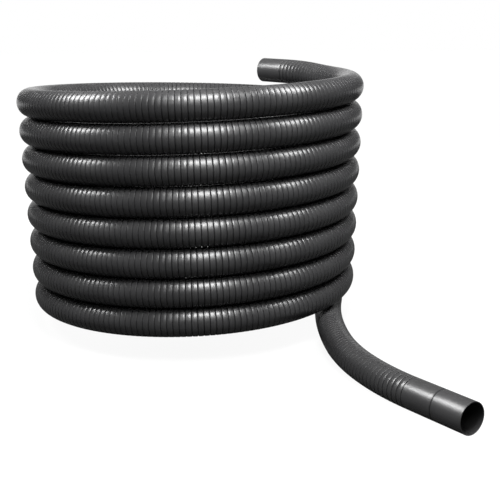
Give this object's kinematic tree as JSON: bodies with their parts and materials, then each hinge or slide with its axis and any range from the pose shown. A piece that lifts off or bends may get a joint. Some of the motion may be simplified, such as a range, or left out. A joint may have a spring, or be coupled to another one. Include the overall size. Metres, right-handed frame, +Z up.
{
  "type": "coiled cable duct",
  "caption": "Round plastic pipe wound into an upright single-layer coil, with plain open ends, for running cables underground.",
  "frame": {"origin": "on the coil's axis, at the level of the floor that it stands on", "axes": "+Z up along the coil's axis, +X towards the side where both ends leave the coil, -Y towards the side that the lower end runs out to"},
  "size_m": [1.0848, 1.4378, 0.7273],
  "materials": {
    "duct": "satin moulded polyethylene, charcoal"
  },
  "bodies": {
    "root": {"duct": "duct"}
  },
  "joints": []
}
